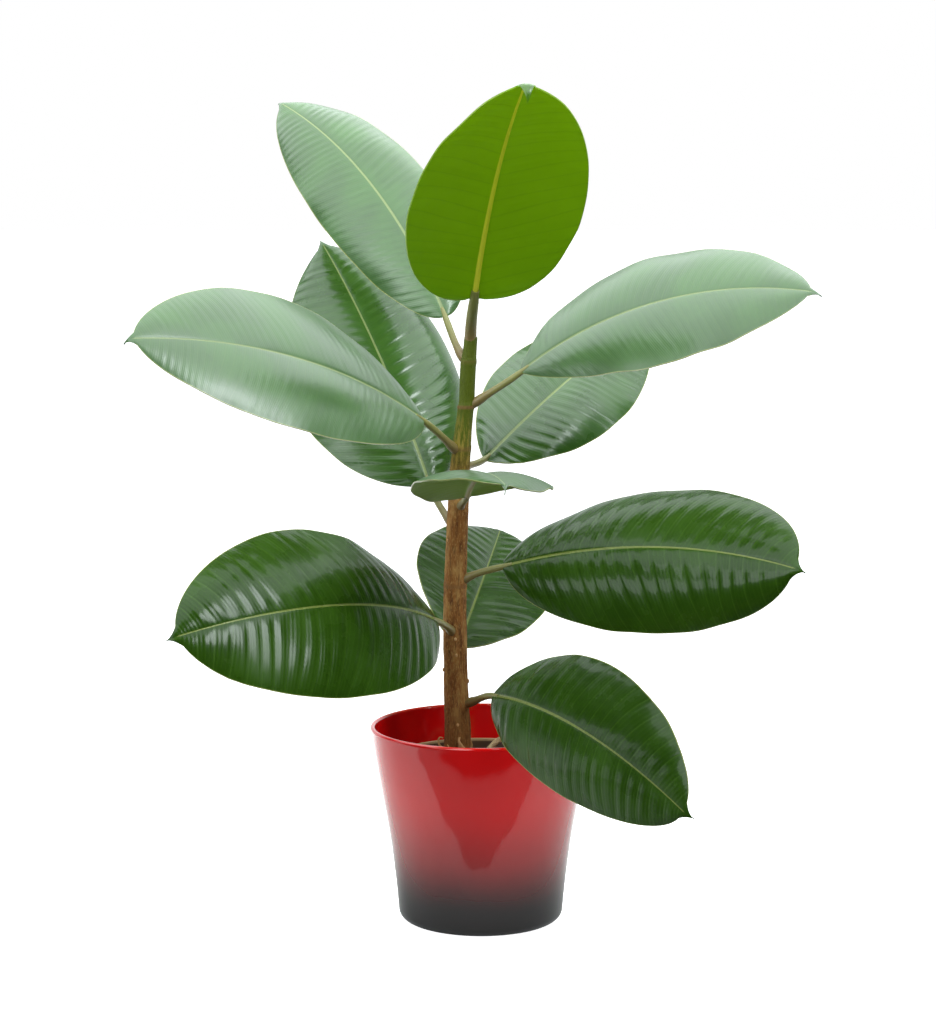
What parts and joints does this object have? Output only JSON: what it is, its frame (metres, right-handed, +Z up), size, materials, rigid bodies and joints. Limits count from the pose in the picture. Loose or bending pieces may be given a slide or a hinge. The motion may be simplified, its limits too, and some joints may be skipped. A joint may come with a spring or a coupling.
{
  "type": "potted rubber plant",
  "caption": "Rubber plant with a woody stem and large glossy leaves, in a nursery pot inside a red-to-black glazed planter.",
  "frame": {"origin": "centre of the planter's flat underside, on the surface it stands on", "axes": "+Z up the stem, -Y towards the side the plant shows to the viewer, +X to the viewer's right"},
  "size_m": [0.5571, 0.5541, 0.7119],
  "materials": {
    "planter_glaze": "gloss",
    "liner_plastic": "satin",
    "soil": "matte",
    "bark": "matte",
    "dry_root": "matte",
    "leaf": "gloss"
  },
  "bodies": {
    "root": {"planter": "planter_glaze", "nursery_pot": "liner_plastic", "potting_soil": "soil", "stem": "bark", "surface_root": "dry_root", "leaf_01_low_right": "leaf", "leaf_02_low_back": "leaf", "leaf_03_low_left": "leaf", "leaf_04_mid_right": "leaf", "leaf_05_back_left": "leaf", "leaf_06_mid_front": "leaf", "leaf_07_back_right": "leaf", "leaf_08_upper_left": "leaf", "leaf_09_upper_right": "leaf", "leaf_10_top_left": "leaf", "leaf_11_top": "leaf"}
  },
  "joints": []
}
